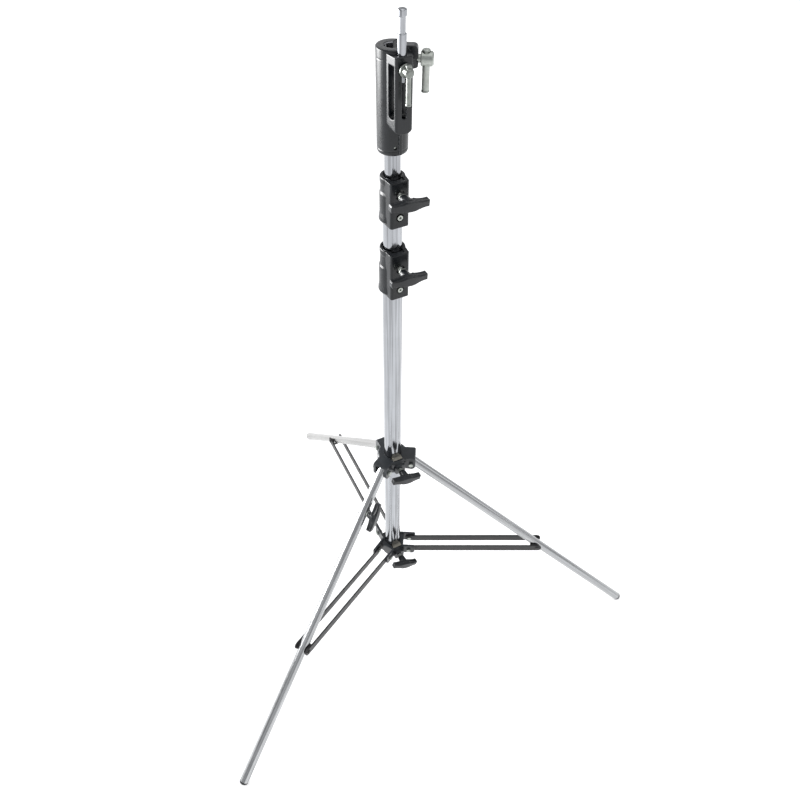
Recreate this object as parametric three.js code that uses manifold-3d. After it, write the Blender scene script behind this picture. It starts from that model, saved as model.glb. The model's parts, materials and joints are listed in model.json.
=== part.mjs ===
// A three-section steel lighting stand with three folding legs, one of them a levelling leg,
// and a combination head: a 28 mm receiver with a pull-up 16 mm spigot beside it.
//
// Units are millimetres and +Z is up. The origin is on the column's axis at the floor.
// The clamps and the spigot face -Y. Most pieces are built in a radial frame and then turned
// about Z: there +X points away from the column, +Y is to the left of it and +Z is up.

import * as THREE from 'three';
import { mergeVertices } from 'three/addons/utils/BufferGeometryUtils.js';
import Module from 'manifold-3d';

const wasm = await Module();
wasm.setup();

// ---------------------------------------------------------------- driving dimensions

const FRONT = -90;                                  // azimuth of every clamp screw, degrees
const LEGS = { a: 210, b: -30, c: 90 };             // azimuths of the three legs, degrees
const GAP = 0.3;                                    // air left between pieces that touch

const BASE = { radius: 22.5, wall: 2, bottom: 230, top: 1295 };
const RISER_1 = { radius: 20, wall: 2, bottom: 315, top: 1467 };
const RISER_2 = { radius: 16, wall: 2, bottom: 385, top: 1637 };

const COLLAR_1 = {
  bottom: 1238, top: 1352, shoulder: BASE.top + GAP, topRadius: 26.3, midRadius: 28.5, skirtRadius: 31.5,
  outer: BASE.radius, inner: RISER_1.radius, front: 37, half: 21.5, screwZ: 1315, setScrewZ: 1262, roll: 2,
};
const COLLAR_2 = {
  bottom: 1413, top: 1515, shoulder: RISER_1.top + GAP, topRadius: 24.3, midRadius: 25.5, skirtRadius: 28.5,
  outer: RISER_1.radius, inner: RISER_2.radius, front: 34, half: 20.5, screwZ: 1487, setScrewZ: 1437, roll: 4,
};

const UPPER_HUB = {
  bottom: 645, top: 690, ring: 42, boss: 47, screwZ: 666, roll: 12, pivotR: 51, pivotZ: 666,
};
const LOWER_HUB = {
  bottom: 232, top: 276, ring: 36, boss: 48, screwZ: 253, roll: 22, pivotR: 51, pivotZ: 259,
};

const LEG = { radius: 12.5, wall: 2, head: 14, footRadius: 751.5, footZ: 5 };
const BRACKET = { at: 540, half: 16, earInner: 12.9, earOuter: 16.2, saddle: 3 };
const BRACE = { width: 24, thickness: 4, inner: 16.5, lug: 5.5 };
const LEVEL = { slotMiddle: 126, slotHalf: 33.5, slotWidth: 9, innerRadius: 10, innerTop: 80 };

const HEAD = {
  radius: 30, bottom: 1566, top: 1758, receiver: 14.3, receiverFloor: 1660,
  railFront: 47.5, railFrontHalf: 17, railBackHalf: 21.6, railBottom: 1616,
  lugReach: 45, lugHalf: 9.5, lugBottom: 1721, lockZ: 1736, lockAzimuth: 60, notchAzimuth: 120,
  slotBottom: 1645, windowBottom: 1643, windowTop: 1738, railTop: 1753,
};
const SPIGOT = {
  axis: 36, radius: 8, neck: 6, bottom: 1708, neckBottom: 1788, neckTop: 1814.4, top: 1826.5, screwZ: 1732, travel: 80,
};
const HANDLE = { half: 42, tipHeight: 11.5, height: 20, depth: 13, hubRadius: 9.5, reach: 28 };

// ---------------------------------------------------------------- materials

function paint(color, roughness, metalness) {
  return () => new THREE.MeshStandardMaterial({ color, roughness, metalness });
}
const chrome = paint(0xc9ccce, 0.12, 1.0);
const zinc = paint(0xb9bab2, 0.32, 1.0);
const casting = paint(0x2b2d30, 0.45, 0.1);
const blackSteel = paint(0x2e2f31, 0.5, 0.1);
const blackPlastic = paint(0x252629, 0.55, 0.0);
const brass = paint(0xb89a5a, 0.35, 1.0);

// ---------------------------------------------------------------- solids

/** A closed manifold solid from a three.js geometry. */
function solid(geometry) {
  const bare = geometry.clone();
  bare.deleteAttribute('normal');
  bare.deleteAttribute('uv');
  const merged = mergeVertices(bare, 1e-4);
  return new wasm.Manifold(new wasm.Mesh({
    numProp: 3,
    vertProperties: new Float32Array(merged.attributes.position.array),
    triVerts: new Uint32Array(merged.index.array),
  }));
}

/** The named three.js mesh of a solid. */
function piece(name, body, material) {
  const out = body.getMesh();
  const geometry = new THREE.BufferGeometry();
  geometry.setAttribute('position', new THREE.BufferAttribute(new Float32Array(out.vertProperties), 3));
  geometry.setIndex(new THREE.BufferAttribute(new Uint32Array(out.triVerts), 1));
  geometry.computeVertexNormals();
  const mesh = new THREE.Mesh(geometry, material());
  mesh.name = name;
  return mesh;
}

function join(...bodies) {
  return bodies.reduce((sum, body) => sum.add(body));
}

function cut(body, ...tools) {
  return tools.reduce((rest, tool) => rest.subtract(tool), body);
}

/** A solid of revolution about Z; profile is a list of [radius, z] that starts and ends on the axis. */
function turned(profile, segments = 32) {
  return solid(new THREE.LatheGeometry(profile.map(([r, z]) => new THREE.Vector2(r, z)), segments)
    .applyMatrix4(new THREE.Matrix4().makeRotationX(Math.PI / 2)));
}

/** A solid ring of revolution about Z; profile is a closed loop off the axis. */
function ring(profile, segments = 32) {
  return turned([...profile, profile[0]], segments);
}

function rod(radius, low, high, segments = 32) {
  return turned([[0, low], [radius, low], [radius, high], [0, high]], segments);
}

/** A rod along +X from low to high, through height z and side offset y. */
function rodX(radius, low, high, z = 0, y = 0, segments = 20) {
  return rod(radius, low, high, segments).rotate([0, 90, 0]).translate([0, y, z]);
}

/** A rod along +Y from low to high. */
function rodY(radius, low, high, x = 0, z = 0, segments = 20) {
  return rod(radius, low, high, segments).rotate([-90, 0, 0]).translate([x, 0, z]);
}

function box(low, high) {
  const size = high.map((value, i) => value - low[i]);
  const middle = high.map((value, i) => (value + low[i]) / 2);
  return solid(new THREE.BoxGeometry(...size)).translate(middle);
}

/** A tube about Z with clean square ends. */
function tube(radius, wall, low, high, segments = 48) {
  return ring([[radius - wall, low], [radius, low], [radius, high], [radius - wall, high]], segments);
}

/** An outline of [x, y] points whose corners are arcs that start r before and end r after them. */
function roundedShape(points, radius, steps) {
  const count = points.length;
  const outline = points.flatMap(([x, y], i) => {
    const r = Array.isArray(radius) ? radius[i] : radius;
    if (r === 0) {
      return [new THREE.Vector2(x, y)];
    }
    const corner = new THREE.Vector2(x, y);
    const back = new THREE.Vector2(...points[(i + count - 1) % count]).sub(corner).normalize();
    const ahead = new THREE.Vector2(...points[(i + 1) % count]).sub(corner).normalize();
    const half = Math.acos(THREE.MathUtils.clamp(back.dot(ahead), -1, 1)) / 2;
    const centre = back.clone().add(ahead).normalize().multiplyScalar(r / Math.cos(half)).add(corner);
    const from = back.multiplyScalar(r).add(corner).sub(centre);
    const to = ahead.multiplyScalar(r).add(corner).sub(centre);
    const sweep = Math.atan2(from.cross(to), from.dot(to));
    return Array.from({ length: steps + 1 }, (_, k) => (
      from.clone().rotateAround(new THREE.Vector2(), sweep * k / steps).add(centre)
    ));
  });
  return new THREE.Shape(outline);
}

/** An extrusion along +Z of a rounded outline in the XY plane. */
function slab(points, radius, low, high, steps = 4) {
  const shape = roundedShape(points, radius, steps);
  const geometry = new THREE.ExtrudeGeometry(shape, { depth: high - low, bevelEnabled: false });
  return solid(geometry).translate([0, 0, low]);
}

/** An extrusion along +X of a rounded outline in the YZ plane. */
function slabX(points, radius, low, high, steps = 4) {
  return slab(points, radius, low, high, steps).rotate([90, 0, 90]);
}

/** An extrusion along +Y of a rounded outline in the XZ plane. */
function slabY(points, radius, low, high, steps = 4) {
  return slab(points.map(([x, z]) => [x, -z]), radius, low, high, steps).rotate([-90, 0, 0]);
}

function rectangle(x0, y0, x1, y1) {
  return [[x0, y0], [x1, y0], [x1, y1], [x0, y1]];
}

/** A bolt or nut head: a hexagon about Z. */
function hexagon(acrossFlats, low, high) {
  return rod(acrossFlats / Math.sqrt(3), low, high, 6);
}

/** Puts meshes in a group turned to an azimuth about the column. */
function facing(azimuth, ...meshes) {
  const group = new THREE.Group();
  group.rotation.z = THREE.MathUtils.degToRad(azimuth);
  group.add(...meshes);
  return group;
}

// ---------------------------------------------------------------- column

function columnTubes() {
  const plugTop = BASE.bottom + 14;
  const plug = turned([
    [0, BASE.bottom - 6], [BASE.radius - 1, BASE.bottom - 6], [BASE.radius, BASE.bottom - 5],
    [BASE.radius, BASE.bottom - GAP], [BASE.radius - BASE.wall - GAP, BASE.bottom - GAP],
    [BASE.radius - BASE.wall - GAP, plugTop], [0, plugTop],
  ]);
  const bush = (outer, inner, riser) => ring([
    [inner.radius + GAP, riser.bottom - 8], [outer.radius - outer.wall - 0.25, riser.bottom - 8],
    [outer.radius - outer.wall - 0.25, riser.bottom + 40], [inner.radius + GAP, riser.bottom + 40],
  ], 40);
  return [
    piece('base_tube', tube(BASE.radius, BASE.wall, BASE.bottom, BASE.top), chrome),
    piece('base_tube_plug', plug, blackPlastic),
    piece('riser_1_tube', tube(RISER_1.radius, RISER_1.wall, RISER_1.bottom, RISER_1.top, 40), chrome),
    piece('riser_2_tube', tube(RISER_2.radius, RISER_2.wall, RISER_2.bottom, RISER_2.top, 40), chrome),
    piece('riser_2_guide_bush', bush(RISER_1, RISER_2, RISER_2), blackPlastic),
  ];
}

// ---------------------------------------------------------------- T-handles

/** The wings and hub of a T-handle: the hub starts at x = low and the wings at x = back. */
function wings(low, back) {
  const { half, height, tipHeight, depth, hubRadius } = HANDLE;
  const plan = slab([
    [back, -half], [back + depth + 1, -half], [back + depth + 5, -12], [back + depth + 5, 12],
    [back + depth + 1, half], [back, half], [back, 15], [back, -15],
  ], [3, 3, 6, 6, 3, 3, 0, 0], -height, height, 3);
  const front = slabX([
    [-half, -tipHeight / 2], [-9, -height / 2], [9, -height / 2], [half, -tipHeight / 2],
    [half, tipHeight / 2], [9, height / 2], [-9, height / 2], [-half, tipHeight / 2],
  ], [3, 6, 6, 3, 3, 6, 6, 3], back - 1, back + depth + 6, 3);
  const hub = turned([
    [0, low], [hubRadius - 1.5, low], [hubRadius, low + 1.5], [hubRadius + 2.5, back + 8], [0, back + 8],
  ], 20).rotate([0, 90, 0]);
  return join(plan.intersect(front), hub);
}

/** A T-handle on a boss whose face is at x = face, its left wing lowered by roll degrees. */
function tHandle(face, z, roll) {
  const bore = rodX(5 + GAP, face - 1, face + HANDLE.reach + 4, 0, 0, 16);
  const body = wings(face + 9, face + HANDLE.reach);
  return cut(body, bore).rotate([-roll, 0, 0]).translate([0, 0, z]);
}

/** The clamp screw of a T-handle, from its tip at x = tip into the handle. */
function handleScrew(tip, face, z) {
  const shank = rodX(5, tip, face + HANDLE.reach + 4 - GAP, 0, 0, 16);
  const shoulder = rodX(7.5, face + 2, face + 9 - GAP, 0, 0, 16);
  return join(shank, shoulder).translate([0, 0, z]);
}

// ---------------------------------------------------------------- riser collars

/** The cast clamp collar on top of an outer tube. */
function collarCasting(c) {
  const shell = turned([
    [0, c.bottom], [c.skirtRadius - 6, c.bottom], [c.skirtRadius, c.bottom + 7],
    [c.skirtRadius - 0.5, c.bottom + 14], [c.midRadius + 1, c.bottom + 24], [c.midRadius + 1, c.screwZ - 8], [c.midRadius - 1, c.screwZ - 3],
    [c.topRadius, c.top - 16], [c.topRadius + 1.2, c.top - 12], [c.topRadius + 1.2, c.top - 2], [c.topRadius, c.top],
    [0, c.top],
  ], 40);
  const block = slab([
    [0, -c.topRadius], [10, -c.half - 2], [c.front, -c.half], [c.front, c.half], [10, c.half + 2], [0, c.topRadius],
  ], [0, 4, 5, 5, 4, 0], c.bottom + 1, c.top - 1, 4);
  const lowerBore = rod(c.outer + GAP, c.bottom - 1, c.shoulder, 48);
  const upperBore = rod(c.inner + 0.5, c.bottom - 1, c.top + 1, 40);
  const mouth = join(
    rod(c.inner + 3, c.top - 4, c.top + 1, 40),
    box([0, -13, c.top - 3.5], [c.front - 6, 13, c.top + 1]),
  );
  const padWay = rodX(7.5 + GAP, 0, c.front - 11, c.screwZ, 0, 20);
  const screwWay = rodX(5 + GAP, 0, c.front + 1, c.screwZ, 0, 20);
  const counterbore = rodX(10, c.front - 6, c.front + 1, c.screwZ, 0, 24);
  const setWay = rodX(4 + GAP, 0, c.front + 1, c.setScrewZ, 0, 16);
  const setCounterbore = rodX(8.2, c.front - 7, c.front + 1, c.setScrewZ, 0, 20);
  return cut(join(shell, block), lowerBore, upperBore, mouth, padWay, screwWay, counterbore, setWay, setCounterbore);
}

function collar(name, c) {
  const tubeFace = c.inner + GAP;
  const padOuter = c.front - 11 - GAP;
  const pad = cut(rodX(7.5, 0, padOuter, c.screwZ, 0, 20), rod(tubeFace, c.screwZ - 12, c.screwZ + 12, 40));
  const socket = rod(2.8, c.front - 2, c.front + 6, 6).rotate([0, 90, 0]).translate([0, 0, c.setScrewZ]);
  const setScrew = cut(join(
    rodX(4, c.outer + GAP, c.front - 6, c.setScrewZ, 0, 16),
    rodX(6, c.front - 6.7, c.front + 1.6, c.setScrewZ, 0, 20),
  ), socket);
  return facing(FRONT,
    piece(`${name}_collar`, collarCasting(c), casting),
    piece(`${name}_collar_pad`, pad, brass),
    piece(`${name}_collar_set_screw`, setScrew, zinc),
    piece(`${name}_collar_handle`, tHandle(c.front + 4, c.screwZ, c.roll), blackPlastic),
    piece(`${name}_collar_screw`, handleScrew(padOuter + GAP, c.front + 4, c.screwZ), zinc),
  );
}

// ---------------------------------------------------------------- leg hubs

/** Parts of a hub that the two hubs share: the ring, the front boss and their cuts. */
function hubCore(h) {
  const shell = turned([
    [0, h.bottom], [h.ring - 6, h.bottom], [h.ring - 3, h.bottom + 4], [h.ring - 3, h.bottom + 16],
    [h.ring - 5, h.bottom + 18], [h.ring - 5, h.bottom + 22], [h.ring, h.bottom + 25], [h.ring, h.top - 6],
    [h.ring - 3, h.top - 3], [h.ring - 3, h.top - 1], [h.ring - 4, h.top], [0, h.top],
  ], 40);
  const boss = slabX(rectangle(-15, h.screwZ - 15, 15, h.screwZ + 15), 7, 20, h.boss, 4);
  return join(shell, boss.rotate([0, 0, FRONT]));
}

function hubCuts(h) {
  const column = rod(BASE.radius + 0.6, h.bottom - 1, h.top + 8, 48);
  const plateWay = box([0, -14.5, h.bottom - 1], [27.2, 14.5, h.top + 1]).rotate([0, 0, FRONT]);
  const screwWay = rodX(5 + GAP, 0, h.boss + 1, h.screwZ, 0, 16).rotate([0, 0, FRONT]);
  const lipWay = box([20, -14.5, h.top], [60, 14.5, h.top + 8]).rotate([0, 0, FRONT]);
  return [column, plateWay, lipWay, screwWay];
}

/** The zinc pressure plate between the clamp screw and the column, with its bent lip. */
function pressurePlate(h) {
  const upright = box([20, -13, h.bottom + 4], [26.8, 13, h.top + 4]);
  const lip = slabY([[22, h.top + 1], [33, h.top + GAP], [34, h.top + 3], [24, h.top + 4]], [0, 0.5, 1, 1], -13, 13, 2);
  return cut(join(upright, lip), rod(BASE.radius + GAP, h.bottom, h.top + 4, 48));
}

/** One arm of the upper hub: a hooded clevis that takes the head of a leg. */
function clevis(h) {
  const outline = [[20, h.bottom + 4], [56, h.bottom], [63, h.bottom + 8], [63, h.top], [20, h.top]];
  const hood = slabY(outline, [0, 4, 4, 6, 0], -21, 21, 4);
  const pocket = slabY([[31.5, h.bottom - 8], [70, h.bottom - 8], [70, h.pivotZ + 19.7], [31.5, h.pivotZ + 19.7]],
    [0, 0, 0, 3], -13.3, 13.3, 3);
  const pin = rodY(4 + GAP, -30, 30, h.pivotR, h.pivotZ, 16);
  return { hood, pocket, pin };
}

/** One arm of the lower hub: a pair of ears outside the two brace strips. */
function ears(h) {
  const inner = BRACE.inner + BRACE.thickness + GAP;
  const outer = inner + BRACE.lug;
  const end = h.pivotR + 18;
  const outline = [[14, h.pivotZ - 15], [end - 5, h.pivotZ - 15], [end, h.pivotZ - 9], [end, h.pivotZ + 21],
    [14, h.pivotZ + 21]];
  const pair = [[inner, outer], [-outer, -inner]]
    .map(([low, high]) => slabY(outline, [0, 3, 3, 3, 0], low, high, 3));
  const web = box([10, -outer, h.pivotZ - 15], [33.5, outer, h.pivotZ + 17]);
  const pocket = box([33.5, -inner, h.bottom - 1], [80, inner, h.top + 1]);
  const pins = rodY(4 + GAP, -outer - 5, outer + 5, h.pivotR, h.pivotZ, 16);
  return { body: join(web, ...pair), pocket, pins };
}

function upperHub() {
  const h = UPPER_HUB;
  const arms = Object.values(LEGS).map((azimuth) => {
    const arm = clevis(h);
    return Object.fromEntries(Object.entries(arm).map(([key, body]) => [key, body.rotate([0, 0, azimuth])]));
  });
  const body = cut(
    join(hubCore(h), ...arms.map((arm) => arm.hood)),
    ...hubCuts(h), ...arms.flatMap((arm) => [arm.pocket, arm.pin]),
  );
  const group = new THREE.Group();
  group.add(piece('upper_hub', body, casting));
  group.add(facing(FRONT,
    piece('upper_hub_plate', pressurePlate(h), zinc),
    piece('upper_hub_handle', tHandle(h.boss, h.screwZ, h.roll), blackPlastic),
    piece('upper_hub_screw', handleScrew(27 + GAP, h.boss, h.screwZ), zinc),
  ));
  Object.entries(LEGS).forEach(([leg, azimuth]) => {
    const bolt = join(
      rodY(4, -25, 25, h.pivotR, h.pivotZ, 16),
      hexagon(11, -27, -21 - GAP).rotate([-90, 0, 0]).translate([h.pivotR, 0, h.pivotZ]),
      hexagon(11, 21 + GAP, 27).rotate([-90, 0, 0]).translate([h.pivotR, 0, h.pivotZ]),
    );
    group.add(facing(azimuth, piece(`leg_${leg}_pivot_bolt`, bolt, zinc)));
  });
  return group;
}

function lowerHub() {
  const h = LOWER_HUB;
  const arms = Object.values(LEGS).map((azimuth) => {
    const arm = ears(h);
    return Object.fromEntries(Object.entries(arm).map(([key, body]) => [key, body.rotate([0, 0, azimuth])]));
  });
  const body = cut(
    join(hubCore(h), ...arms.map((arm) => arm.body)),
    ...hubCuts(h), ...arms.flatMap((arm) => [arm.pocket, arm.pins]),
  );
  const group = new THREE.Group();
  group.add(piece('lower_hub', body, casting));
  group.add(facing(FRONT,
    piece('lower_hub_plate', pressurePlate(h), zinc),
    piece('lower_hub_handle', tHandle(h.boss, h.screwZ, h.roll), blackPlastic),
    piece('lower_hub_screw', handleScrew(27 + GAP, h.boss, h.screwZ), zinc),
  ));
  return group;
}

// ---------------------------------------------------------------- legs

/** Where the leg's axis runs in its radial plane: the pivot and the unit vector down the leg. */
function legLine() {
  const pivot = new THREE.Vector2(UPPER_HUB.pivotR, UPPER_HUB.pivotZ);
  const foot = new THREE.Vector2(LEG.footRadius, LEG.footZ);
  const down = foot.clone().sub(pivot).normalize();
  return { pivot, down, length: foot.distanceTo(pivot) };
}

/** Turns meshes built along +X from the pivot, with +Z on the leg's upper side, into place. */
function alongLeg(azimuth, ...meshes) {
  const { pivot, down } = legLine();
  const leg = new THREE.Group();
  leg.position.set(pivot.x, 0, pivot.y);
  leg.rotation.y = Math.atan2(-down.y, down.x);
  leg.add(...meshes);
  return facing(azimuth, leg);
}

function legTube(length, levelling) {
  const bar = tube(LEG.radius, LEG.wall, -LEG.head, length, 28).rotate([0, 90, 0]);
  const pivotWay = rodY(4 + GAP, -20, 20, 0, 0, 16);
  const boltWay = rodY(4 + GAP, -20, 20, BRACKET.at, 0, 16);
  if (!levelling) {
    return cut(bar, pivotWay, boltWay);
  }
  const { slotMiddle, slotHalf, slotWidth } = LEVEL;
  const r = slotWidth / 2;
  const slot = slabY(
    rectangle(slotMiddle - slotHalf, -r, slotMiddle + slotHalf, r), r - 0.1, 2, 20, 4);
  return cut(bar, pivotWay, boltWay, slot);
}

/** The plug in the foot end of a leg: a rounded tip and a stem inside a tube of the given bore. */
function footPlug(start, bore, stem) {
  const r = LEG.radius;
  const { pivot, down } = legLine();
  const tilt = THREE.MathUtils.radToDeg(Math.atan2(-down.y, down.x));
  const floor = box([600, -60, -60], [900, 60, 0]).translate([-pivot.x, 0, -pivot.y]).rotate([0, -tilt, 0]);
  const plug = turned([
    [0, start - stem], [bore - GAP, start - stem], [bore - GAP, start + GAP], [r, start + GAP],
    [r, start + 3], [r - 1.5, start + 6.5], [r - 5, start + 9], [0, start + 10],
  ], 28).rotate([0, 90, 0]);
  return cut(plug, floor);
}

/** The saddle bracket under a leg, whose two ears carry the brace strips. */
function legBracket() {
  const { at, half, earInner, earOuter, saddle } = BRACKET;
  const under = -LEG.radius - GAP - saddle;
  const outline = [
    [at - half, under], [at + half - 5, under], [at + half - 4, 2], [at + 5, 8], [at - 7, 8], [at - half, -4],
  ];
  const blank = slabY(outline, [3, 3, 4, 4, 5, 3], -earOuter, earOuter, 3);
  const leg = box([at - 40, -earInner, -LEG.radius - GAP], [at + 40, earInner, 40]);
  const boltWay = rodY(4 + GAP, -30, 30, at, 0, 16);
  return cut(blank, leg, boltWay);
}

function legs() {
  const { length } = legLine();
  const group = new THREE.Group();
  Object.entries(LEGS).forEach(([leg, azimuth]) => {
    const levelling = leg === 'a';
    const plugStart = length - 10;
    const bore = levelling ? LEVEL.innerRadius - LEG.wall : LEG.radius - LEG.wall;
    group.add(alongLeg(azimuth,
      piece(`leg_${leg}_tube`, legTube(plugStart, levelling), chrome),
      piece(`leg_${leg}_foot`, footPlug(plugStart, bore, 24), blackPlastic),
      piece(`leg_${leg}_bracket`, legBracket(), blackSteel),
      piece(`leg_${leg}_brace_pin`, rodY(4, -BRACKET.earOuter, BRACKET.earOuter, BRACKET.at, 0, 16), zinc),
    ));
  });
  return group;
}

/** The levelling leg's inner tube and its clamp, which slide together in the outer tube's slot. */
function levellingLeg() {
  const { length } = legLine();
  const { slotMiddle, innerRadius, innerTop } = LEVEL;
  const inner = cut(
    tube(innerRadius, LEG.wall, innerTop, length - 10, 28).rotate([0, 90, 0]),
    rodY(4 + GAP, 0, 20, slotMiddle, 0, 16),
    slabY(rectangle(BRACKET.at - 40, -4.6, BRACKET.at + 10, 4.6), 4.5, -20, 20, 4),
  );
  const turn = (body) => body.rotate([0, 0, 90]).translate([slotMiddle, 0, 0]);
  const face = LEG.radius - 8;
  const screw = join(
    rodX(4, 4, face + 26, 0, 0, 16),
    rodX(8, LEG.radius + GAP, LEG.radius + 3, 0, 0, 20),
  );
  const handle = cut(wings(face + 13, face + 22), rodX(4 + GAP, face, face + 26 + GAP, 0, 0, 16))
    .rotate([12, 0, 0]);
  return alongLeg(LEGS.a,
    piece('levelling_inner_tube', inner, chrome),
    piece('levelling_handle', turn(handle), blackPlastic),
    piece('levelling_screw', turn(screw), zinc),
  );
}

// ---------------------------------------------------------------- braces

function braces() {
  const { pivot, down } = legLine();
  const outer = pivot.clone().addScaledVector(down, BRACKET.at);
  const innerEnd = new THREE.Vector2(LOWER_HUB.pivotR, LOWER_HUB.pivotZ);
  const reach = outer.distanceTo(innerEnd);
  const rise = Math.atan2(outer.y - innerEnd.y, outer.x - innerEnd.x);
  const { width, thickness, inner, lug } = BRACE;
  const r = width / 2;
  const group = new THREE.Group();
  Object.entries(LEGS).forEach(([leg, azimuth]) => {
    [['left', 1], ['right', -1]].forEach(([side, sign]) => {
      const [low, high] = [inner * sign, (inner + thickness) * sign].sort((p, q) => p - q);
      const blank = slabY(rectangle(-r, -r, reach + r, r), r - 0.5, low, high, 5);
      const hole = rodY(4 + GAP, low - 1, high + 1, 0, 0, 16);
      const outside = inner + thickness - 1;
      const rivetHead = rod(6, outside, outside + 3.5, 16).rotate([-90 * sign, 0, 0]).translate([reach, 0, 0]);
      const strip = piece(`brace_${leg}_${side}`, cut(join(blank, rivetHead), hole), blackSteel);
      const placed = new THREE.Group();
      placed.position.set(innerEnd.x, 0, innerEnd.y);
      placed.rotation.y = -rise;
      placed.add(strip);
      const face = inner + thickness + GAP + lug + GAP;
      const rivet = join(
        rod(4, inner - 2.6, face + 3.2, 16),
        rod(6, inner - 3, inner - GAP, 16),
        hexagon(12, face, face + 5),
      ).rotate([-90 * sign, 0, 0]).translate([innerEnd.x, 0, innerEnd.y]);
      group.add(facing(azimuth, placed, piece(`brace_${leg}_${side}_pivot`, rivet, zinc)));
    });
  });
  return group;
}

// ---------------------------------------------------------------- head

function headCasting() {
  const { radius, bottom, top } = HEAD;
  const groove = (z) => [[radius, z - 1.2], [radius - 0.8, z], [radius, z + 1.2]];
  const barrel = turned([
    [0, bottom], [radius - 4, bottom], [radius - 1.2, bottom + 1.4], [radius, bottom + 5],
    ...groove(bottom + 10), ...groove(top - 18), [radius, top - 1.5], [radius - 1.5, top], [0, top],
  ], 48);
  const plan = slab([
    [5, -HEAD.railBackHalf], [21, -HEAD.railBackHalf], [HEAD.railFront, -HEAD.railFrontHalf],
    [HEAD.railFront, HEAD.railFrontHalf], [21, HEAD.railBackHalf], [5, HEAD.railBackHalf],
  ], [0, 2, 4, 4, 2, 0], HEAD.railBottom - 5, HEAD.railTop, 4);
  const front = slabX([
    [-24, top], [-24, HEAD.railBottom + 22], [-15, HEAD.railBottom], [15, HEAD.railBottom], [24, HEAD.railBottom + 22],
    [24, top],
  ], [0, 10, 12, 12, 10, 0], 0, 60, 5);
  const rail = plan.intersect(front);
  const rib = slab(rectangle(20, -3.2, 36, 3.2), 1.5, bottom + 5, HEAD.railBottom + 8, 3);
  const lug = slabY(rectangle(15, HEAD.lugBottom, HEAD.lugReach, top + 2), [0, 4, 8, 0], -HEAD.lugHalf, HEAD.lugHalf, 4)
    .rotate([0, 0, HEAD.lockAzimuth]);
  const receiver = rod(HEAD.receiver, HEAD.receiverFloor, top + 1, 48);
  const mouth = turned([[0, top - 1.5], [HEAD.receiver, top - 1.5], [HEAD.receiver + 3, top + 1.5], [0, top + 1.5]], 48);
  const notch = slabX(rectangle(-7, top - 25, 7, top + 20), 6, 0, 40, 4).rotate([0, 0, HEAD.notchAzimuth]);
  const tubeWay = rod(RISER_2.radius + GAP, bottom - 1, RISER_2.top + GAP, 48);
  const spigotWay = rod(SPIGOT.radius + 0.4, SPIGOT.bottom - SPIGOT.travel - 2, top + 1, 32).translate([SPIGOT.axis, 0, 0]);
  const slot = slabX(rectangle(-4.8, HEAD.slotBottom, 4.8, HEAD.top - 16), 4.7, SPIGOT.axis, 60, 5);
  const windows = slabY(rectangle(26, HEAD.windowBottom, 42, HEAD.windowTop), [6, 6, 1.5, 1.5], -40, 40, 4);
  const lockWay = rodX(5 + GAP, 5, 60, HEAD.lockZ, 0, 16).rotate([0, 0, HEAD.lockAzimuth]);
  const pinWay = rodX(3, 12, 40, bottom + 17, -7.5, 14);
  return cut(join(barrel, rail, rib, lug),
    receiver, mouth, notch, tubeWay, spigotWay, slot, windows, lockWay, pinWay);
}

function spigotPin() {
  const s = SPIGOT;
  const blank = turned([
    [0, s.bottom], [s.radius - 1, s.bottom], [s.radius, s.bottom + 1], [s.radius, s.neckBottom - 0.6],
    [s.radius - 0.6, s.neckBottom], [s.neck, s.neckBottom], [s.neck, s.neckTop], [s.radius - 0.6, s.neckTop + 0.4],
    [s.radius, s.neckTop + 1.2], [s.radius, s.top - 1.6], [s.radius - 1.6, s.top], [0, s.top],
  ], 28);
  return cut(blank.translate([s.axis, 0, 0]), rodX(4 + GAP, s.axis - 2, s.axis + 20, s.screwZ, 0, 16));
}

/** A lock screw along +X: a turned head with a boss that the tommy bar passes through. */
function lockScrew(p) {
  const body = join(
    rodX(p.shank, p.tip, p.low + 1, 0, 0, 16),
    turned([
      [0, p.low], [p.radius - 1, p.low], [p.radius, p.low + 1], [p.radius, p.step - 1], [p.radius - 1, p.step],
      [p.boss, p.step], [p.boss, p.high - 3], [p.boss - 3, p.high], [0, p.high],
    ], 28).rotate([0, 90, 0]),
  );
  return cut(body, rod(p.bar + GAP, -40, 40, 20).translate([p.barX, 0, 0]));
}

/** The tommy bar of a lock screw, hanging by its upper bead on the boss. */
function tommyBar(p) {
  const bead = p.bar + 0.9;
  const rest = p.boss + GAP;
  const top = rest + p.bead;
  return turned([
    [0, -p.below], [bead - 1, -p.below], [bead, -p.below + 1], [bead, -p.below + 2.5], [p.bar, -p.below + 3.6],
    [p.bar, rest - 0.2], [bead, rest + 0.5], [bead, top - 1.6], [bead - 1.6, top], [0, top],
  ], 20).translate([p.barX, 0, 0]);
}

function head() {
  const s = SPIGOT;
  const lock = {
    tip: HEAD.receiver + 3, low: 49.3, step: 70, high: 72, shank: 5, radius: 12.7, boss: 12.5, bar: 6.7,
    barX: 58.6, bead: 3.4, below: 58,
  };
  const front = {
    tip: s.axis, low: 49, step: 54, high: 69.5, shank: 4, radius: 12, boss: 8.5, bar: 4.6,
    barX: 62, bead: 5, below: 57,
  };
  const at = (z, body) => body.translate([0, 0, z]);
  const parts = (name, p, z) => [
    piece(`${name}_screw`, at(z, lockScrew(p)), zinc),
    piece(`${name}_bar`, at(z, tommyBar(p)), zinc),
  ];
  const riserPin = rodX(2.7, RISER_2.radius + 1, HEAD.radius - 4, HEAD.bottom + 17, -7.5, 14);
  return facing(FRONT,
    piece('head_casting', headCasting(), casting),
    piece('head_set_screw', riserPin, zinc),
    piece('spigot', spigotPin(), chrome),
    ...parts('spigot_lock', front, s.screwZ),
    facing(HEAD.lockAzimuth, ...parts('receiver_lock', lock, HEAD.lockZ)),
  );
}

// ---------------------------------------------------------------- assembly

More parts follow.
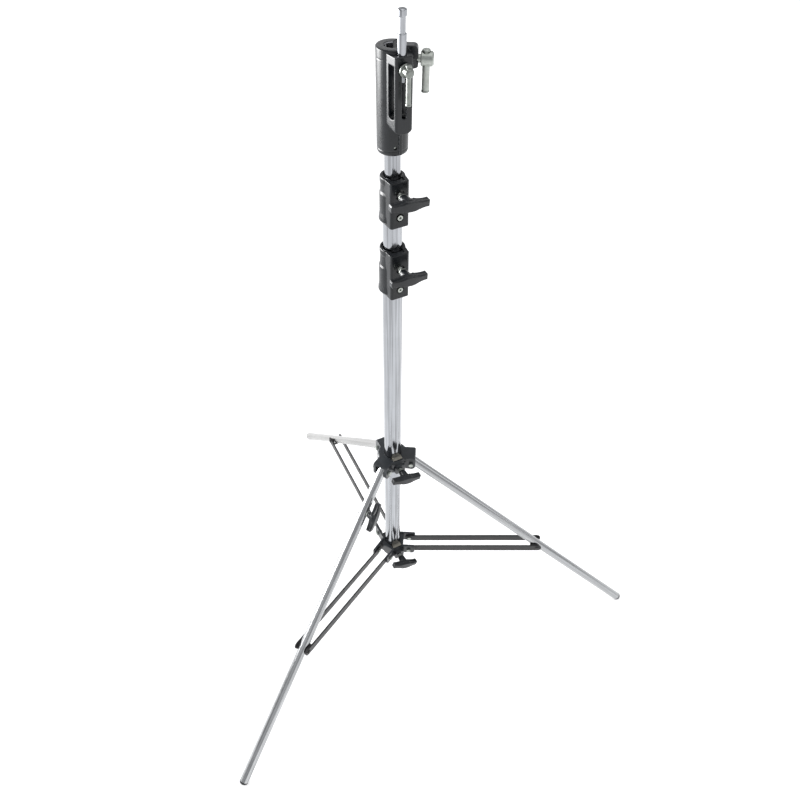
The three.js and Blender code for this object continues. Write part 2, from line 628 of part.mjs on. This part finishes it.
const stand = new THREE.Group();
stand.add(
  ...columnTubes(),
  collar('base', COLLAR_1),
  collar('riser', COLLAR_2),
  upperHub(),
  lowerHub(),
  legs(),
  levellingLeg(),
  braces(),
  head(),
);

export default stand;
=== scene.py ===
"""Looks of the three-section lighting stand: materials, castings, handles, tubes and screws.

Every finer piece is either a softened copy of a CAD node or new mesh built in the same place.
Metres, +Z up, with the column's axis at the origin and the clamps facing -Y.
"""

import json
import math

import bmesh
import bpy
from mathutils import Matrix, Vector

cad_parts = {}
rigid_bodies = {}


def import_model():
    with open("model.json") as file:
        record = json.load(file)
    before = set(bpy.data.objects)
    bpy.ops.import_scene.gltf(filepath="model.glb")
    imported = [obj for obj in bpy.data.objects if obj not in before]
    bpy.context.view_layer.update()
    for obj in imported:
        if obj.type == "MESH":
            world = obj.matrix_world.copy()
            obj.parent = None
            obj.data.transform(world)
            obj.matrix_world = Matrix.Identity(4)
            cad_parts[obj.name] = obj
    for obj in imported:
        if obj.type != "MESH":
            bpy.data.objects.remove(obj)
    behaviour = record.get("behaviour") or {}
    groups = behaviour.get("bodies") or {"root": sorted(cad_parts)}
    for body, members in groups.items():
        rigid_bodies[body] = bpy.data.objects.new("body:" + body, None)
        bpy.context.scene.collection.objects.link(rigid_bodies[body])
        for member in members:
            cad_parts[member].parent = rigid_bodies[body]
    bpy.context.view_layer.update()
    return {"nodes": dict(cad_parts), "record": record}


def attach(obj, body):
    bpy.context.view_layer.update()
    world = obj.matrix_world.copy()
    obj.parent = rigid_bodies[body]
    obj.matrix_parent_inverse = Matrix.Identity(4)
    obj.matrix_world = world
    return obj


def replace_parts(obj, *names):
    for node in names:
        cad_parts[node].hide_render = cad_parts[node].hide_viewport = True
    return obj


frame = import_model()
MM = 0.001
FINE = "fine_"  # the names of finer copies of CAD nodes start with this
FRONT = math.radians(-90)
LEG_AZIMUTH = {"a": math.radians(210), "b": math.radians(-30), "c": math.radians(90)}
LEG_TILT = math.radians(46.66)  # from the vertical
BODIES = frame["record"]["behaviour"]["bodies"]
BODY_OF = {node: body for body, nodes in BODIES.items() for node in nodes}
SLOT_OF = {s["node"]: s["material_slot"] for s in frame["record"]["subparts"]}


# ---------------------------------------------------------------- materials

RANGE_SOCKETS = ("From Min", "From Max", "To Min", "To Max")


class Nodes:
    """A small helper that builds one node material."""

    def __init__(self, name):
        self.mat = bpy.data.materials.new(name)
        self.mat.use_nodes = True
        self.tree = self.mat.node_tree
        self.tree.nodes.clear()
        self.out = self.add("ShaderNodeOutputMaterial")
        self.bsdf = self.add("ShaderNodeBsdfPrincipled")
        self.link(self.bsdf, "BSDF", self.out, "Surface")
        self.coord = self.add("ShaderNodeTexCoord")

    def add(self, kind, **values):
        node = self.tree.nodes.new(kind)
        for key, value in values.items():
            if hasattr(node, key):
                setattr(node, key, value)
            else:
                node.inputs[key].default_value = value
        return node

    def link(self, a, output, b, socket):
        self.tree.links.new(a.outputs[output], b.inputs[socket])

    def space(self, scale=(1, 1, 1), turn=(0, 0, 0)):
        """Object coordinates, turned and then stretched."""
        rotate = self.add("ShaderNodeMapping", vector_type="TEXTURE")
        rotate.inputs["Rotation"].default_value = turn
        self.link(self.coord, "Object", rotate, "Vector")
        stretch = self.add("ShaderNodeMapping")
        stretch.inputs["Scale"].default_value = scale
        self.link(rotate, "Vector", stretch, "Vector")
        return stretch

    def noise(self, space, scale, detail=3.0, roughness=0.55):
        node = self.add("ShaderNodeTexNoise", Scale=scale, Detail=detail, Roughness=roughness)
        self.link(space, "Vector", node, "Vector")
        return node

    def spread(self, node, low, high, out_low, out_high):
        """Maps a grey output from one range to another."""
        return self.spread_output(node, 0, (low, high, out_low, out_high))

    def spread_output(self, node, output, values):
        """Maps one output of a node, by the four values of RANGE_SOCKETS."""
        out = self.add("ShaderNodeMapRange")
        for socket, value in zip(RANGE_SOCKETS, values):
            out.inputs[socket].default_value = value
        self.link(node, output, out, "Value")
        return out

    def mix(self, factor, dark, light):
        """A colour between two, by a grey factor."""
        ramp = self.add("ShaderNodeValToRGB")
        ramp.color_ramp.elements[0].color = (*dark, 1)
        ramp.color_ramp.elements[1].color = (*light, 1)
        self.link(factor, 0, ramp, "Fac")
        return ramp

    def bump(self, height, strength, distance, below=None):
        node = self.add("ShaderNodeBump", Strength=strength, Distance=distance)
        self.link(height, 0, node, "Height")
        if below:
            self.link(below, "Normal", node, "Normal")
        return node

    def set(self, **values):
        for key, value in values.items():
            self.bsdf.inputs[key.replace("_", " ")].default_value = value


def tube_chrome(
    name, turn=(0, 0, 0), dark=(0.27, 0.275, 0.29), light=(0.47, 0.485, 0.51), gloss=(0.07, 0.16)
):
    """Plated drawn tube: fine lines along the tube, faint handling marks, small specks; the
    lighter and darker streaks along the tube in its colour are painted reflections.
    """
    n = Nodes(name)
    n.set(Metallic=1.0)
    along = n.space((1, 1, 0.012), turn)
    lines = n.noise(along, 700, 2.0)
    # streaks along the tube, lighter and darker in the colour: a painted reflection of light and
    # dark surroundings
    painted_reflection_streak = n.noise(along, 230, 3.0, 0.6)
    even = n.space()
    smudge = n.noise(even, 14, 4.0, 0.6)
    fine = n.noise(even, 160, 3.0)
    # colour: the painted reflection streaks plus real handling marks
    reflection_and_smudge = n.add("ShaderNodeMath", operation="ADD")
    n.link(n.spread(painted_reflection_streak, 0.36, 0.56, 0, 0.8), 0, reflection_and_smudge, 0)
    n.link(n.spread(smudge, 0.3, 0.7, 0, 0.2), 0, reflection_and_smudge, 1)
    color = n.mix(reflection_and_smudge, dark, light)
    n.link(color, "Color", n.bsdf, "Base Color")
    rough = n.add("ShaderNodeMath", operation="ADD")
    n.link(n.spread(smudge, 0.35, 0.7, *gloss), 0, rough, 0)
    n.link(n.spread(fine, 0.4, 0.75, 0.0, 0.05), 0, rough, 1)
    n.link(rough, 0, n.bsdf, "Roughness")
    first = n.bump(lines, 0.25, 0.00004)
    second = n.bump(smudge, 0.15, 0.0005, first)
    n.link(second, "Normal", n.bsdf, "Normal")
    return n.mat


def zinc(name, dark, light, rough_low=0.22, rough_high=0.42):
    """Bright zinc plate: cloudy, with fine tool marks."""
    n = Nodes(name)
    n.set(Metallic=1.0)
    even = n.space()
    cloud = n.noise(even, 60, 5.0, 0.65)
    fine = n.noise(even, 900, 2.0)
    color = n.mix(n.spread(cloud, 0.3, 0.7, 0, 1), dark, light)
    n.link(color, "Color", n.bsdf, "Base Color")
    n.link(n.spread(cloud, 0.3, 0.7, rough_low, rough_high), 0, n.bsdf, "Roughness")
    n.link(n.bump(fine, 0.3, 0.00006), "Normal", n.bsdf, "Normal")
    return n.mat


BORE_EDGE = 0.0006
BARE_METAL = (0.42, 0.42, 0.44, 1)
WORN_PAINT = (0.09, 0.09, 0.095, 1)


def paint(
    name, dark, light, rough_low, rough_high, grain, coat=0.0, depth=0.00008, level=0.42, bore=None
):
    """Black coat on metal or moulded plastic: cloudy colour, uneven gloss, fine surface grain.

    Inside the radius of a bore on the column's axis the surface is bare machined metal.
    """
    n = Nodes(name)
    n.set(Coat_Weight=coat, Coat_Roughness=0.12, Specular_IOR_Level=level)
    even = n.space()
    cloud = n.noise(even, 35, 4.0, 0.6)
    peel = n.noise(even, grain, 3.0, 0.5)
    scuff = n.noise(n.space((1, 1, 0.3)), 260, 6.0, 0.75)
    color = n.mix(n.spread(cloud, 0.3, 0.75, 0, 1), dark, light)
    worn = n.add("ShaderNodeMix", data_type="RGBA")
    n.tree.links.new(n.spread(scuff, 0.66, 0.78, 0.0, 0.35).outputs[0], worn.inputs[0])
    n.tree.links.new(color.outputs["Color"], worn.inputs[6])
    worn.inputs[7].default_value = WORN_PAINT
    surface = worn
    if bore:
        radial = n.add("ShaderNodeVectorMath", operation="LENGTH")
        n.link(n.space((1, 1, 0)), "Vector", radial, 0)
        bare = n.spread_output(radial, "Value", (bore, bore + BORE_EDGE, 1, 0))
        n.link(bare, 0, n.bsdf, "Metallic")
        surface = n.add("ShaderNodeMix", data_type="RGBA")
        n.tree.links.new(bare.outputs[0], surface.inputs[0])
        n.tree.links.new(worn.outputs[2], surface.inputs[6])
        surface.inputs[7].default_value = BARE_METAL
    n.tree.links.new(surface.outputs[2], n.bsdf.inputs["Base Color"])
    n.link(n.spread(cloud, 0.3, 0.7, rough_low, rough_high), 0, n.bsdf, "Roughness")
    n.link(n.bump(peel, 0.35, depth), "Normal", n.bsdf, "Normal")
    return n.mat


def leg_turn(azimuth):
    """The turn of a texture space whose Z runs along a leg."""
    out = math.sin(LEG_TILT)
    down = Vector((out * math.cos(azimuth), out * math.sin(azimuth), -math.cos(LEG_TILT)))
    return tuple(down.to_track_quat("Z", "Y").to_euler())


COLUMN_CHROME = tube_chrome("column_chrome")
# each leg's chrome is a lighter or darker copy of one colour range: painted light and shade, with
# leg a given the lightest and widest range
LEG_LIT_AND_SHADED_TONES = {
    "a": ((0.30, 0.305, 0.31), (0.62, 0.63, 0.64)),
    "b": ((0.33, 0.335, 0.341), (0.46, 0.467, 0.475)),
    "c": ((0.32, 0.318, 0.312), (0.45, 0.447, 0.44)),
}
LEG_CHROME_WITH_PAINTED_LIGHT = {
    leg: tube_chrome(f"leg_{leg}_chrome", leg_turn(azimuth), *LEG_LIT_AND_SHADED_TONES[leg], (0.17, 0.26))
    for leg, azimuth in LEG_AZIMUTH.items()
}
# the dark and light ends of the painted reflection streaks, spread wide on the spigot
SPIGOT_STEEL = tube_chrome(
    "spigot_steel", dark=(0.13, 0.135, 0.15), light=(0.52, 0.535, 0.56), gloss=(0.05, 0.12)
)
ZINC = zinc("bright_zinc", (0.33, 0.35, 0.325), (0.54, 0.565, 0.53), 0.3, 0.48)
DULL_ZINC = zinc("dull_zinc", (0.21, 0.225, 0.21), (0.37, 0.39, 0.365), 0.32, 0.48)
PLATE_ZINC = zinc("plate_zinc", (0.24, 0.225, 0.19), (0.36, 0.345, 0.30), 0.3, 0.5)
BRASS = zinc("brass", (0.55, 0.42, 0.20), (0.74, 0.60, 0.34), 0.25, 0.4)
CASTING = paint(
    "casting_black", (0.003, 0.004, 0.0052), (0.0065, 0.0085, 0.011), 0.24, 0.36, 700,
    coat=0.1, level=0.36,
)
HEAD_PAINT = paint(
    "head_black", (0.004, 0.0052, 0.0068), (0.0085, 0.011, 0.014), 0.24, 0.34, 700,
    coat=0.12, level=0.46, bore=0.0147,
)
# the hubs' copy of the black paint is lighter than the castings': painted light on the same paint
HUB_BLACK_WITH_PAINTED_LIGHT = paint(
    "hub_black", (0.012, 0.0145, 0.017), (0.022, 0.026, 0.031), 0.26, 0.38, 700,
    coat=0.12, level=0.52,
)
STRIP_PAINT = paint("strip_black", (0.014, 0.014, 0.015), (0.026, 0.026, 0.027), 0.36, 0.5, 1100)
PLASTIC = paint(
    "handle_plastic", (0.0065, 0.0078, 0.0095), (0.012, 0.014, 0.0168), 0.26, 0.38, 1500,
    coat=0.12, level=0.44,
)
BY_SLOT = {
    "chrome": COLUMN_CHROME,
    "black_casting": CASTING,
    "black_steel": STRIP_PAINT,
    "black_plastic": PLASTIC,
    "zinc_steel": ZINC,
    "brass": BRASS,
}


def material_for(node):
    if node == "spigot":
        return SPIGOT_STEEL
    if node.startswith("spigot_lock"):
        return DULL_ZINC
    if node == "head_casting":
        return HEAD_PAINT
    if node in ("upper_hub", "lower_hub"):
        return HUB_BLACK_WITH_PAINTED_LIGHT
    if node.endswith("_plate"):
        return PLATE_ZINC
    if node.startswith("leg_") and node.endswith("_tube"):
        return LEG_CHROME_WITH_PAINTED_LIGHT[node[4]]
    if node == "levelling_inner_tube":
        return LEG_CHROME_WITH_PAINTED_LIGHT["a"]
    return BY_SLOT[SLOT_OF[node]]


# ---------------------------------------------------------------- mesh helpers


def new_object(name, mesh, body, material):
    obj = bpy.data.objects.new(name, mesh)
    bpy.context.scene.collection.objects.link(obj)
    mesh.materials.clear()
    mesh.materials.append(material)
    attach(obj, body)
    return obj


def baked(mesh, *modifiers):
    """The mesh after a list of (type, settings) modifiers."""
    obj = bpy.data.objects.new("scratch", mesh)
    bpy.context.scene.collection.objects.link(obj)
    for kind, settings in modifiers:
        modifier = obj.modifiers.new(kind, kind)
        for key, value in settings.items():
            setattr(modifier, key, value)
    graph = bpy.context.evaluated_depsgraph_get()
    result = bpy.data.meshes.new_from_object(obj.evaluated_get(graph))
    bpy.data.objects.remove(obj)
    return result


def welded(node):
    """The CAD node's surface as one clean bmesh."""
    source = frame["nodes"][node]
    work = bmesh.new()
    work.from_mesh(source.data)
    for layer in list(work.loops.layers.uv):
        work.loops.layers.uv.remove(layer)
    bmesh.ops.transform(work, matrix=source.matrix_world, verts=work.verts)
    bmesh.ops.remove_doubles(work, verts=work.verts, dist=2e-6)
    return work


def clean_mesh(name, work):
    """A mesh with nothing but the bmesh's points and faces."""
    work.verts.index_update()
    points = [v.co.copy() for v in work.verts]
    faces = [[v.index for v in f.verts] for f in work.faces]
    work.free()
    mesh = bpy.data.meshes.new(name)
    mesh.from_pydata(points, [], faces)
    return mesh


def fine_copy(node, mesh):
    """Puts a finer mesh in the place of a CAD node."""
    obj = new_object(FINE + node, mesh, BODY_OF[node], material_for(node))
    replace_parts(obj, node)


def cast(node, voxel=0.7 * MM, smooth=5, keep=0.35, extra=(), reshape=None):
    """A softened copy of a casting or moulding: sharp edges become fillets."""
    work = welded(node)
    for more in extra:
        work.from_mesh(more)
    mesh = clean_mesh(FINE + node, work)
    mesh = baked(
        mesh,
        ("REMESH", {"mode": "VOXEL", "voxel_size": voxel}),
        ("SMOOTH", {"factor": 0.5, "iterations": smooth}),
        ("DECIMATE", {"decimate_type": "COLLAPSE", "ratio": keep}),
    )
    if reshape:
        reshape(mesh)
    mesh.shade_smooth()
    fine_copy(node, mesh)


def bevelled(node, width):
    """A copy of a machined or pressed piece with its hard edges broken."""
    work = welded(node)
    bmesh.ops.dissolve_limit(
        work, angle_limit=math.radians(0.5), verts=work.verts, edges=work.edges
    )
    mesh = clean_mesh(FINE + node, work)
    mesh.shade_smooth()
    mesh = baked(
        mesh,
        ("BEVEL", {"width": width, "segments": 2, "limit_method": "ANGLE",
                   "angle_limit": math.radians(35), "use_clamp_overlap": True}),
        ("WEIGHTED_NORMAL", {"keep_sharp": True, "weight": 80}),
    )
    fine_copy(node, mesh)


# ---------------------------------------------------------------- finer pieces


def place_at(azimuth, z, roll=0.0):
    """The frame on the column whose +X points away from it at an azimuth, rolled about that +X."""
    return (
        Matrix.Translation((0, 0, z * MM))
        @ Matrix.Rotation(azimuth, 4, "Z")
        @ Matrix.Rotation(math.radians(roll), 4, "X")
    )


def loft(name, rings, closed):
    """A mesh through rings of points along +X.

    A closed one joins its last ring to its first; the ends of an open one are capped.
    """
    around = len(rings[0])
    count = len(rings)
    points = [p for ring_points in rings for p in ring_points]
    faces = [
        (i * around + k, i * around + (k + 1) % around,
         (i + 1) % count * around + (k + 1) % around, (i + 1) % count * around + k)
        for i in range(count if closed else count - 1)
        for k in range(around)
    ]
    if not closed:
        faces.append(tuple(range(around - 1, -1, -1)))
        faces.append(tuple((count - 1) * around + k for k in range(around)))
    mesh = bpy.data.meshes.new(name)
    mesh.from_pydata(points, [], faces)
    work = bmesh.new()
    work.from_mesh(mesh)
    bmesh.ops.recalc_face_normals(work, faces=work.faces)
    work.to_mesh(mesh)
    work.free()
    return mesh


def circle(along, radius, around):
    turns = [math.tau * k / around for k in range(around)]
    return [(along * MM, radius * MM * math.cos(t), radius * MM * math.sin(t)) for t in turns]


def thread(name, start, end, radius, pitch=1.5, depth=0.6, around=24, rings_per_turn=5):
    """A threaded rod along +X; the crests stand at the radius."""
    count = int((end - start) / pitch * rings_per_turn) + 1
    rings = []
    for i in range(count):
        along = start + (end - start) * i / (count - 1)
        points = []
        for k in range(around):
            turn = k / around
            dip = abs(2 * ((along / pitch - turn) % 1.0) - 1)
            r = (radius - depth * dip) * MM
            angle = turn * math.tau
            points.append((along * MM, r * math.cos(angle), r * math.sin(angle)))
        rings.append(points)
    return loft(name, rings, closed=False)


def ring_of(name, profile, around=48):
    """A ring of revolution about +X from a closed loop of (along, radius)."""
    return loft(name, [circle(along, radius, around) for along, radius in profile], closed=True)


def placed(name, mesh, place, body, material, sharp=40):
    mesh.transform(place)
    mesh.shade_smooth()
    mesh.set_sharp_from_angle(angle=math.radians(sharp))
    return new_object(name, mesh, body, material)


# (distance from the boss face, radius), in mm
SCREW_RADIUS = 5.0
SCREW_END = 31.6
NUT = ((2, 4.2), (2, 6.4), (2.7, 7.4), (6.3, 7.4), (7, 6.4), (7, 4.2))
WASHER = ((7.2, 4.2), (7.2, 8.6), (7.5, 8.9), (8.5, 8.9), (8.8, 8.6), (8.8, 4.2))


def clamp_screw(clamp, tip, face, z, roll):
    """The threaded clamp screw with its hexagon nut and the washer under the handle."""
    node = clamp + "_screw"
    body = BODY_OF[node]
    place = place_at(FRONT, z, roll)
    rod = thread(node, tip, face + SCREW_END, SCREW_RADIUS)
    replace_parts(placed(FINE + node, rod, place, body, ZINC, 60), node)
    for part, profile, sides, sharp in (("_nut", NUT, 6, 25), ("_washer", WASHER, 48, 40)):
        mesh = ring_of(clamp + part, [(face + along, radius) for along, radius in profile], sides)
        placed(clamp + part, mesh, place, body, ZINC, sharp)


# a T-handle, in mm: its back stands this far from the boss face
HANDLE_BACK = 28
RIB_EDGES = (0.6, 10.2)
RIB_WIDTH = 2.4
RIB_SPAN = (10.0, 40.0)
RIB_FOOT, RIB_CREST = -1.5, 1.2
PAD_SIZE = (13.0, 6.0, 13.4)
PAD_MIDDLE = (7.0, 38.2)
BOX_FACES = ((0, 1, 3, 2), (4, 6, 7, 5), (0, 4, 5, 1), (2, 3, 7, 6), (0, 2, 6, 4), (1, 5, 7, 3))
# the CAD wing: half its height at the middle, and how far it drops over which distances
WING_HALF = 10.0
WING_DROP = 4.25
WING_START, WING_RUN = 9.0, 33.0
# half height of a wing at distances from the middle of the handle
WAIST = ((0, 10), (9, 10), (16, 7.7), (24, 6.4), (32, 5.9), (37, 6.2), (50, 6.2))


def straight_wing(y):
    """Half the height of the CAD handle at a distance from its middle."""
    return WING_HALF - WING_DROP * max(0.0, y - WING_START) / WING_RUN


def handle_ribs(back, place):
    """Raised ribs along the edges of a T-handle's wings, and the thicker pads at their tips."""
    work = bmesh.new()
    for side in (1, -1):
        for up in (1, -1):
            for edge in RIB_EDGES:
                corners = [
                    work.verts.new((x * MM, side * y * MM, up * (straight_wing(y) + rise) * MM))
                    for y in RIB_SPAN
                    for x in (back + edge, back + edge + RIB_WIDTH)
                    for rise in (RIB_FOOT, RIB_CREST)
                ]
                for loop in BOX_FACES:
                    work.faces.new([corners[k] for k in loop])
    bmesh.ops.recalc_face_normals(work, faces=work.faces)
    bmesh.ops.transform(work, matrix=place, verts=work.verts)
    for side in (1, -1):
        pad = bmesh.ops.create_cube(work, size=1.0)["verts"]
        bmesh.ops.scale(work, vec=Vector(PAD_SIZE) * MM, verts=pad)
        middle = Vector((back + PAD_MIDDLE[0], side * PAD_MIDDLE[1], 0))
        bmesh.ops.translate(work, vec=middle * MM, verts=pad)
        bmesh.ops.transform(work, matrix=place, verts=pad)
    mesh = bpy.data.meshes.new("ribs")
    work.to_mesh(mesh)
    work.free()
    return mesh


def waist_at(y):
    for (y0, h0), (y1, h1) in zip(WAIST, WAIST[1:]):
        if y <= y1:
            return h0 + (h1 - h0) * (y - y0) / (y1 - y0)
    return WAIST[-1][1]


def waisted(mesh, place):
    """Narrows the straight wings of a T-handle between its middle and its tips."""
    back = place.inverted()
    for vertex in mesh.vertices:
        p = back @ vertex.co
        y = abs(p.y) / MM
        p.z *= waist_at(y) / straight_wing(y)
        vertex.co = place @ p


def handle(node, back, place):
    """The moulded T-handle: ribbed, waisted and softened."""
    ribs = handle_ribs(back, place)
    cast(node, voxel=0.6 * MM, extra=[ribs], reshape=lambda mesh: waisted(mesh, place))


# ---------------------------------------------------------------- pieces

# clamp: inner end of the screw, boss face and height in mm, roll of the handle in degrees
CLAMPS = {
    "base_collar": (26.0, 41, 1315, 2),
    "riser_collar": (23.0, 38, 1487, 4),
    "upper_hub": (27.3, 47, 666, 12),
    "lower_hub": (27.3, 48, 253, 22),
}
LEG_PIVOT = (0.051, 0, 0.666)
LEVELLING_CLAMP = (0.126, 0, 0)  # from the pivot, along the leg
LEVELLING_BACK = 26.5
LEVELLING_PLACE = (
    Matrix.Rotation(LEG_AZIMUTH["a"], 4, "Z")
    @ Matrix.Translation(LEG_PIVOT)
    @ Matrix.Rotation(math.pi / 2 - LEG_TILT, 4, "Y")
    @ Matrix.Translation(LEVELLING_CLAMP)
    @ Matrix.Rotation(math.radians(90), 4, "Z")
    @ Matrix.Rotation(math.radians(12), 4, "X")
)
RECEIVER_LOCK = place_at(math.radians(-30), 1736)
SLEEVE = ((45.3, 4.6), (45.3, 7.2), (49.3, 7.2), (49.3, 4.6))
EDGE_WIDTH = {
    "chrome": 0.3 * MM, "black_steel": 0.7 * MM, "zinc_steel": 0.4 * MM,
    "black_plastic": 0.5 * MM, "brass": 0.4 * MM,
}

for node, obj in frame["nodes"].items():
    obj.data.materials.clear()
    obj.data.materials.append(material_for(node))

for node in ("base_collar", "riser_collar", "upper_hub", "lower_hub", "head_casting"):
    cast(node)
for node in (
    "spigot_lock_screw", "receiver_lock_screw", "spigot_lock_bar", "receiver_lock_bar", "spigot"
):
    cast(node, voxel=0.45 * MM, smooth=3, keep=0.3)
for clamp, (tip, face, z, roll) in CLAMPS.items():
    clamp_screw(clamp, tip, face, z, roll)
    handle(clamp + "_handle", face + HANDLE_BACK, place_at(FRONT, z, -roll))
handle("levelling_handle", LEVELLING_BACK, LEVELLING_PLACE)
placed(
    "receiver_lock_sleeve", ring_of("receiver_lock_sleeve", SLEEVE),
    RECEIVER_LOCK, BODY_OF["receiver_lock_screw"], ZINC,
)

finished = {name.removeprefix(FINE) for name in bpy.data.objects.keys() if name.startswith(FINE)}
for node in frame["nodes"]:
    if node not in finished:
        bevelled(node, EDGE_WIDTH[SLOT_OF[node]])

# ---------------------------------------------------------------- stage


FLOOR_REACH = 40
FLOOR_GLOW = 0.50
FLOOR_PALE = ((0.90, 0.90, 0.90), (0.93, 0.93, 0.93))
WORLD_COLOR = (0.86, 0.87, 0.89, 1)
WORLD_STRENGTH = 0.58
# name, place, target, size, power, spread in degrees
LIGHTS = (
    ("soft_left", (-1.95, 1.55, 1.55), (0, 0, 1.5), (2.4, 1.8), 46, 70),
    ("key_left", (-3.5, 0.9, 2.3), (0, 0, 0.9), (1.6, 3.0), 12, 180),
    ("fill_right", (3.4, -2.2, 2.2), (0, 0, 0.9), (2.0, 3.0), 16, 180),
    ("top", (0.3, -0.6, 4.4), (0, 0, 0), (3.0, 3.0), 22, 180),
    ("back_floor", (-0.8, 4.8, 2.7), (-0.8, 4.4, 0), (7.0, 3.0), 90, 180),
)
# the photograph's camera, fitted to the column, the feet and the hubs
CAMERA_LENS = 33.87
SENSOR_WIDTH = 36
CAMERA_PLACE = (-0.5932, -1.2003, 2.2477)
CAMERA_HEADING, CAMERA_TILT, CAMERA_ROLL = -27.1, 44.62, 0.54


def floor():
    mesh = bpy.data.meshes.new("floor")
    signs = ((-1, -1), (1, -1), (1, 1), (-1, 1))
    corners = [(x * FLOOR_REACH, y * FLOOR_REACH, 0) for x, y in signs]
    mesh.from_pydata(corners, [], [(0, 1, 2, 3)])
    obj = bpy.data.objects.new("floor", mesh)
    bpy.context.scene.collection.objects.link(obj)
    n = Nodes("floor_paper")
    n.set(Roughness=0.9)
    cloud = n.noise(n.space(), 1.5, 3.0)
    n.link(n.mix(n.spread(cloud, 0.3, 0.7, 0, 1), *FLOOR_PALE), "Color", n.bsdf, "Base Color")
    n.set(Emission_Color=(1, 1, 1, 1), Emission_Strength=FLOOR_GLOW)
    mesh.materials.append(n.mat)


def area_light(name, place, target, size, power, spread):
    data = bpy.data.lights.new(name, "AREA")
    data.shape = "RECTANGLE"
    data.size, data.size_y = size
    data.energy = power
    data.spread = math.radians(spread)
    obj = bpy.data.objects.new(name, data)
    bpy.context.scene.collection.objects.link(obj)
    obj.location = place
    obj.rotation_mode = "QUATERNION"
    obj.rotation_quaternion = (Vector(target) - Vector(place)).to_track_quat("-Z", "Y")
    obj.visible_camera = False


def world():
    scene_world = bpy.data.worlds.new("studio")
    bpy.context.scene.world = scene_world
    scene_world.use_nodes = True
    background = scene_world.node_tree.nodes["Background"]
    background.inputs["Color"].default_value = WORLD_COLOR
    background.inputs["Strength"].default_value = WORLD_STRENGTH


floor()
world()
for light in LIGHTS:
    area_light(*light)

camera_data = bpy.data.cameras.new("camera")
camera_data.lens = CAMERA_LENS
camera_data.sensor_width = SENSOR_WIDTH
camera = bpy.data.objects.new("camera", camera_data)
bpy.context.scene.collection.objects.link(camera)
camera.matrix_world = (
    Matrix.Translation(CAMERA_PLACE)
    @ Matrix.Rotation(math.radians(CAMERA_HEADING), 4, "Z")
    @ Matrix.Rotation(math.radians(CAMERA_TILT), 4, "X")
    @ Matrix.Rotation(math.radians(CAMERA_ROLL), 4, "Z")
)
bpy.context.scene.camera = camera
bpy.context.scene.view_settings.view_transform = "Standard"
